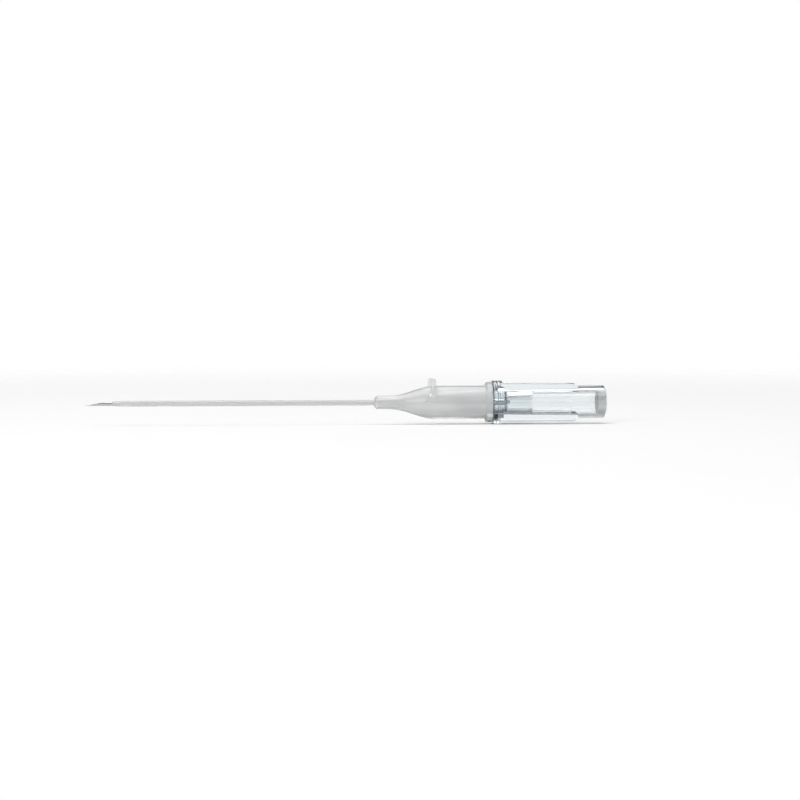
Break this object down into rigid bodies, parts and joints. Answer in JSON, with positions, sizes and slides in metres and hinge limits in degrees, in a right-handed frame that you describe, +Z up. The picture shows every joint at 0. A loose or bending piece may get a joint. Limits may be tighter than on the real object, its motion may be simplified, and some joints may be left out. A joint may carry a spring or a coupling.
{
  "type": "intravenous cannula",
  "caption": "Over-the-needle intravenous cannula: soft tube on a flared hub with push-off tab and Luer socket, bevelled steel needle, and flash chamber with grip plates and vented plug.",
  "frame": {"origin": "on the needle's axis, at the front face of the catheter hub's nose, where the tube leaves it", "axes": "-X along the tube towards the needle's point, +X towards the vent plug, +Z up, the side of the bevel and of the push-off tab"},
  "size_m": [0.1021, 0.0084, 0.0089],
  "materials": {
    "tube_polymer": "milky translucent fluoropolymer tube",
    "wedge_steel": "drawn stainless steel sheet",
    "hub_plastic": "natural translucent moulded plastic",
    "needle_steel": "ground and polished stainless steel tube",
    "needle_hub_plastic": "clear moulded plastic",
    "adhesive": "clear cured adhesive",
    "chamber_plastic": "clear moulded plastic",
    "plug_plastic": "white moulded plastic with a satin surface",
    "filter_polymer": "white sintered porous plastic"
  },
  "bodies": {
    "catheter": {"catheter_tube": "tube_polymer", "catheter_wedge": "wedge_steel", "catheter_hub": "hub_plastic"},
    "needle_unit": {"needle": "needle_steel", "needle_hub": "needle_hub_plastic", "needle_bond": "adhesive", "flash_chamber": "chamber_plastic", "vent_plug": "plug_plastic", "vent_filter": "filter_polymer"}
  },
  "joints": [
    {"name": "needle_withdrawal", "type": "slide", "parent": "catheter", "child": "needle_unit", "axis": [1, 0, 0], "range_m": [0, 0.082]}
  ]
}
